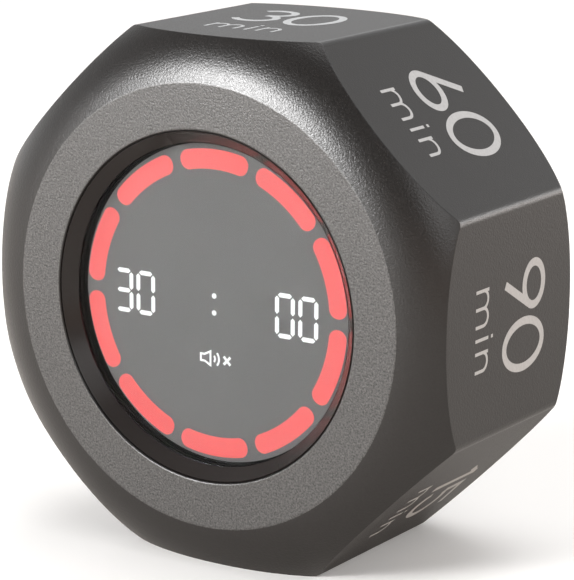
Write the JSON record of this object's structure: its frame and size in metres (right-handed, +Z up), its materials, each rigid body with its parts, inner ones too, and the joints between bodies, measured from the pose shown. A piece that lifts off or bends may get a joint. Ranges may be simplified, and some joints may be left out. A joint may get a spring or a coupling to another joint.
{
  "type": "kitchen timer",
  "caption": "Octagonal flip timer with a round lit display in front, a magnetic rear cover, a charging socket, a power switch and a sound button.",
  "frame": {"origin": "under the middle of the case, on the flat face that it stands on", "axes": "+Z up, +X to the right seen from the front, +Y from the display towards the rear cover"},
  "size_m": [0.065, 0.035, 0.065],
  "materials": {
    "housing": "fine spark-eroded grain, gun-metal grey",
    "display_bezel": "polished black",
    "display_lens": "clear polished acrylic",
    "lens_gasket": "black adhesive foam",
    "display_film": "grey printed film",
    "digit_light_guides": "milky acrylic",
    "ring_light_guides": "red acrylic",
    "light_baffle": "white moulded plastic",
    "led_board": "green solder mask",
    "display_leds": "lamp chips",
    "display_screws": "zinc plated",
    "rear_cover": "fine spark-eroded grain, gun-metal grey",
    "cover_screws": "black oxide",
    "back_pad": "matt silicone",
    "magnets": "nickel plated",
    "main_board": "green solder mask",
    "board_screws": "zinc plated",
    "controller_chip": "black moulded epoxy",
    "tilt_sensor": "black moulded epoxy",
    "charger_chip": "black moulded epoxy",
    "board_capacitors": "tan ceramic",
    "battery_tape": "white foam tape",
    "battery_cell": "silver laminate pouch",
    "battery_plug": "cream nylon",
    "battery_lead_red": "red insulation",
    "battery_lead_black": "black insulation",
    "display_connector": "cream nylon",
    "main_connector": "cream nylon",
    "ribbon_cable": "white film",
    "buzzer": "black moulded plastic",
    "usb_c_shell": "nickel-plated steel",
    "usb_c_tongue": "black nylon",
    "slide_switch_body": "tinned steel",
    "slide_switch_lever": "black nylon",
    "power_switch_knob": "black plastic",
    "tact_switch_body": "black nylon",
    "tact_switch_plunger": "red nylon",
    "sound_button": "dark grey plastic"
  },
  "bodies": {
    "case": {"housing": "housing", "display_bezel": "display_bezel", "display_lens": "display_lens", "lens_gasket": "lens_gasket", "display_film": "display_film", "digit_light_guides": "digit_light_guides", "ring_light_guides": "ring_light_guides", "light_baffle": "light_baffle", "led_board": "led_board", "display_leds": "display_leds", "display_screws": "display_screws", "rear_cover": "rear_cover", "cover_screws": "cover_screws", "back_pad": "back_pad", "magnets": "magnets", "main_board": "main_board", "board_screws": "board_screws", "controller_chip": "controller_chip", "tilt_sensor": "tilt_sensor", "charger_chip": "charger_chip", "board_capacitors": "board_capacitors", "battery_tape": "battery_tape", "battery_cell": "battery_cell", "battery_plug": "battery_plug", "battery_lead_red": "battery_lead_red", "battery_lead_black": "battery_lead_black", "display_connector": "display_connector", "main_connector": "main_connector", "ribbon_cable": "ribbon_cable", "buzzer": "buzzer", "usb_c_shell": "usb_c_shell", "usb_c_tongue": "usb_c_tongue", "slide_switch_body": "slide_switch_body", "tact_switch_body": "tact_switch_body"},
    "power_switch": {"power_switch_knob": "power_switch_knob", "slide_switch_lever": "slide_switch_lever"},
    "sound_key": {"sound_button": "sound_button", "tact_switch_plunger": "tact_switch_plunger"}
  },
  "joints": [
    {"name": "power_slide", "type": "slide", "parent": "case", "child": "power_switch", "axis": [0, 0, -1], "range_m": [0, 0.0025]},
    {"name": "sound_press", "type": "slide", "parent": "case", "child": "sound_key", "axis": [0, -1, 0], "range_m": [0, 0.0004], "stiffness_N_per_m": 2000, "springref_m": -0.0004}
  ]
}
